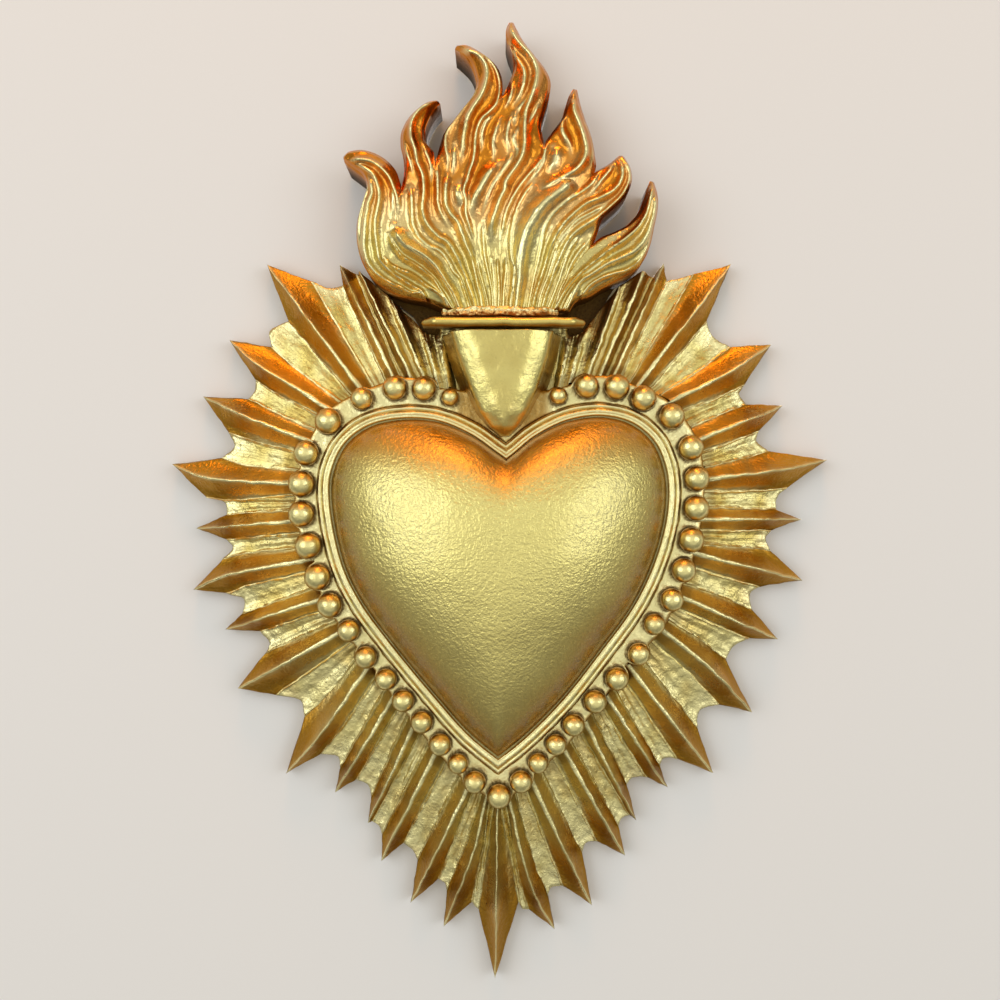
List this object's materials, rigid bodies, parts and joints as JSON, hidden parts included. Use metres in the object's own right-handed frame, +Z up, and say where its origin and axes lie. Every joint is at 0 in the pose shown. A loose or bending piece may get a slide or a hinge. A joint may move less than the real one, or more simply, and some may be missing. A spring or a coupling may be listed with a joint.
{
  "type": "sunburst ex-voto",
  "caption": "Gilded wall plaque of a flaming heart, edged with beads on a sunburst of carved rays, with a hinged hanging ring recessed in its flat back.",
  "frame": {"origin": "on the flat back, behind the middle of the heart's upper half, 20 mm below the axis of the ring", "axes": "+X to the viewer's right, +Y into the wall, +Z up; the front faces -Y"},
  "size_m": [0.139, 0.0246, 0.2],
  "materials": {
    "copper_gold": "gold paint rubbed thin to copper brown, on cast resin",
    "satin_gold": "satin gold paint on cast resin",
    "pale_gold": "satin pale gold paint on cast resin",
    "steel": "bright drawn wire"
  },
  "bodies": {
    "plaque": {"sunburst_plate": "copper_gold", "bead_band": "pale_gold", "heart_rim": "pale_gold", "heart_dome": "satin_gold", "bead_01": "pale_gold", "bead_02": "pale_gold", "bead_03": "pale_gold", "bead_04": "pale_gold", "bead_05": "pale_gold", "bead_06": "pale_gold", "bead_07": "pale_gold", "bead_08": "pale_gold", "bead_09": "pale_gold", "bead_10": "pale_gold", "bead_11": "pale_gold", "bead_12": "pale_gold", "bead_13": "pale_gold", "bead_14": "pale_gold", "bead_15": "pale_gold", "bead_16": "pale_gold", "bead_17": "pale_gold", "bead_18": "pale_gold", "bead_19": "pale_gold", "bead_20": "pale_gold", "bead_21": "pale_gold", "bead_22": "pale_gold", "bead_23": "pale_gold", "bead_24": "pale_gold", "bead_25": "pale_gold", "bead_26": "pale_gold", "bead_27": "pale_gold", "bead_28": "pale_gold", "bead_29": "pale_gold", "bead_30": "pale_gold", "bead_31": "pale_gold", "bead_32": "pale_gold", "bead_33": "pale_gold", "bead_34": "pale_gold", "bead_35": "pale_gold", "bead_36": "pale_gold", "bead_37": "pale_gold", "bead_38": "pale_gold", "bead_39": "pale_gold", "flame_cup": "pale_gold", "cup_collar": "satin_gold", "cup_lip": "copper_gold", "flame": "satin_gold", "hanger_staple": "steel"},
    "ring": {"hanger_ring": "steel"}
  },
  "joints": [
    {"name": "ring_swing", "type": "hinge", "parent": "plaque", "child": "ring", "pos_m": [0, -0.0024, 0.02], "axis": [1, 0, 0], "range_deg": [0, 180]}
  ]
}
